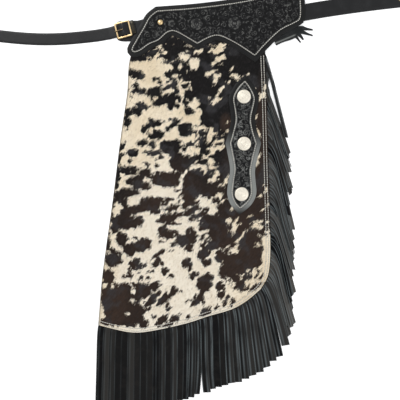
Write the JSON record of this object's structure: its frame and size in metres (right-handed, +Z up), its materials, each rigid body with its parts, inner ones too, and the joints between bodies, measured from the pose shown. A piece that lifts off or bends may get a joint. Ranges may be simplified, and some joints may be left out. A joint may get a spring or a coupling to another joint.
{
  "type": "leather chaps",
  "caption": "Hair-on hide chaps laid flat: two leg panels with long side and hem fringe, tooled yokes, concho overlays, buckled front strap and open back straps.",
  "frame": {"origin": "centre of the bounding box's bottom face, on the surface that the garment lies on", "axes": "+X to the wearer's left, across the opened garment; +Y up to the waist; +Z up from the surface"},
  "size_m": [1.8456, 1.0202, 0.0149],
  "materials": {
    "hair_hide": "hair-on cowhide, cream with black and dark brown patches",
    "suede": "black suede, matt",
    "black_leather": "smooth black leather, satin",
    "carved_leather": "black leather tooled with flowers and leaves",
    "brass": "polished brass",
    "silver": "engraved nickel silver"
  },
  "bodies": {
    "root": {"leg_left": "hair_hide", "leg_right": "hair_hide", "fringe_left": "suede", "fringe_right": "suede", "leg_strap_left": "black_leather", "leg_strap_right": "black_leather", "yoke_border_left": "black_leather", "yoke_border_right": "black_leather", "yoke_panel_left": "carved_leather", "yoke_panel_right": "carved_leather", "overlay_border_left": "black_leather", "overlay_border_right": "black_leather", "overlay_panel_left": "carved_leather", "overlay_panel_right": "carved_leather", "concho_1_left": "silver", "concho_1_right": "silver", "concho_2_left": "silver", "concho_2_right": "silver", "concho_3_left": "silver", "concho_3_right": "silver", "yoke_stud_left": "brass", "yoke_stud_right": "brass", "front_strap": "black_leather", "buckle_safe": "black_leather", "buckle_chape": "black_leather", "buckle_frame": "brass", "buckle_tongue": "brass", "buckle_keeper": "brass", "back_strap_left": "black_leather", "back_strap_right": "black_leather", "back_stud_1": "brass", "back_stud_2": "brass", "hip_tie_left": "black_leather", "hip_tie_right": "black_leather"}
  },
  "joints": []
}
